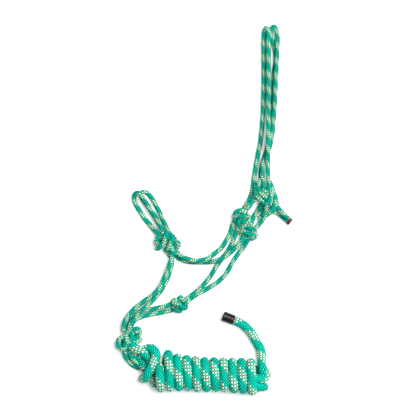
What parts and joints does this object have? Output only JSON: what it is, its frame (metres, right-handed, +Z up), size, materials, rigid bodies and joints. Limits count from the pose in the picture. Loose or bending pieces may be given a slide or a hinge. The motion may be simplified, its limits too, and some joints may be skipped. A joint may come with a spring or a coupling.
{
  "type": "rope head halter with lead",
  "caption": "Knotted rope head halter folded flat, with a thicker braided lead rope tied on and wound into a hank.",
  "frame": {"origin": "on the surface the halter lies on, below the middle of the halter's own box, leaving out the lead rope", "axes": "+Z up off the surface, +Y from the lead's end towards the crown, +X towards the crown tails"},
  "size_m": [0.27, 0.565, 0.0461],
  "materials": {
    "halter_cord": "braided polyester, teal with pale green flecks",
    "lead_rope": "braided polyester, teal with cream flecks",
    "melted_tip": "heat-sealed cord end, red-brown",
    "black_sleeve": "satin black shrink sleeve"
  },
  "bodies": {
    "cheeks": {"cheek_knot_right": "halter_cord", "cheek_knot_left": "halter_cord", "cheek_strand_right": "halter_cord", "cheek_strand_left": "halter_cord", "throat_strand_right": "halter_cord", "throat_strand_left": "halter_cord", "nose_knot_left": "halter_cord", "nose_knot_right": "halter_cord", "chin_strap_upper": "halter_cord", "chin_strap_lower": "halter_cord", "throat_knot": "halter_cord", "fiador_strand_upper": "halter_cord", "fiador_strand_lower": "halter_cord", "fiador_knot": "halter_cord", "fiador_loop": "halter_cord", "lead_hitch": "lead_rope"},
    "crown": {"crown_strand_right": "halter_cord", "crown_strand_left": "halter_cord", "tie_knot": "halter_cord", "tie_loop_left_leg": "halter_cord", "tie_loop_right_leg": "halter_cord"},
    "crown_tails": {"crown_tail_upper": "halter_cord", "crown_tail_lower": "halter_cord", "tail_tip_upper": "melted_tip", "tail_tip_lower": "melted_tip"},
    "noseband": {"noseband_outer": "halter_cord", "noseband_inner": "halter_cord"},
    "lead": {"lead_hank": "lead_rope", "lead_bight_upper": "lead_rope", "lead_bight_lower": "lead_rope"},
    "lead_end": {"lead_tail": "lead_rope", "lead_end_cap": "black_sleeve"}
  },
  "joints": [
    {"name": "crown_lift", "type": "hinge", "parent": "cheeks", "child": "crown", "pos_m": [0.0654, -0.0307, 0.01705], "axis": [0.54, -0.8417, 0], "range_deg": [0, 60]},
    {"name": "crown_tails_lift", "type": "hinge", "parent": "crown", "child": "crown_tails", "pos_m": [0.1064, -0.0107, 0.01755], "axis": [-0.6919, -0.722, 0], "range_deg": [0, 45]},
    {"name": "noseband_lift", "type": "hinge", "parent": "cheeks", "child": "noseband", "pos_m": [-0.0606, -0.0557, 0.01685], "axis": [0.783, 0.622, 0], "range_deg": [0, 60]},
    {"name": "lead_lift", "type": "hinge", "parent": "cheeks", "child": "lead", "pos_m": [-0.0741, -0.2697, 0.04655], "axis": [0, -1, 0], "range_deg": [0, 35]},
    {"name": "lead_end_swing", "type": "hinge", "parent": "lead", "child": "lead_end", "pos_m": [0.0879, -0.2522, 0.01755], "axis": [0, 0, 1], "range_deg": [-12, 20]}
  ]
}
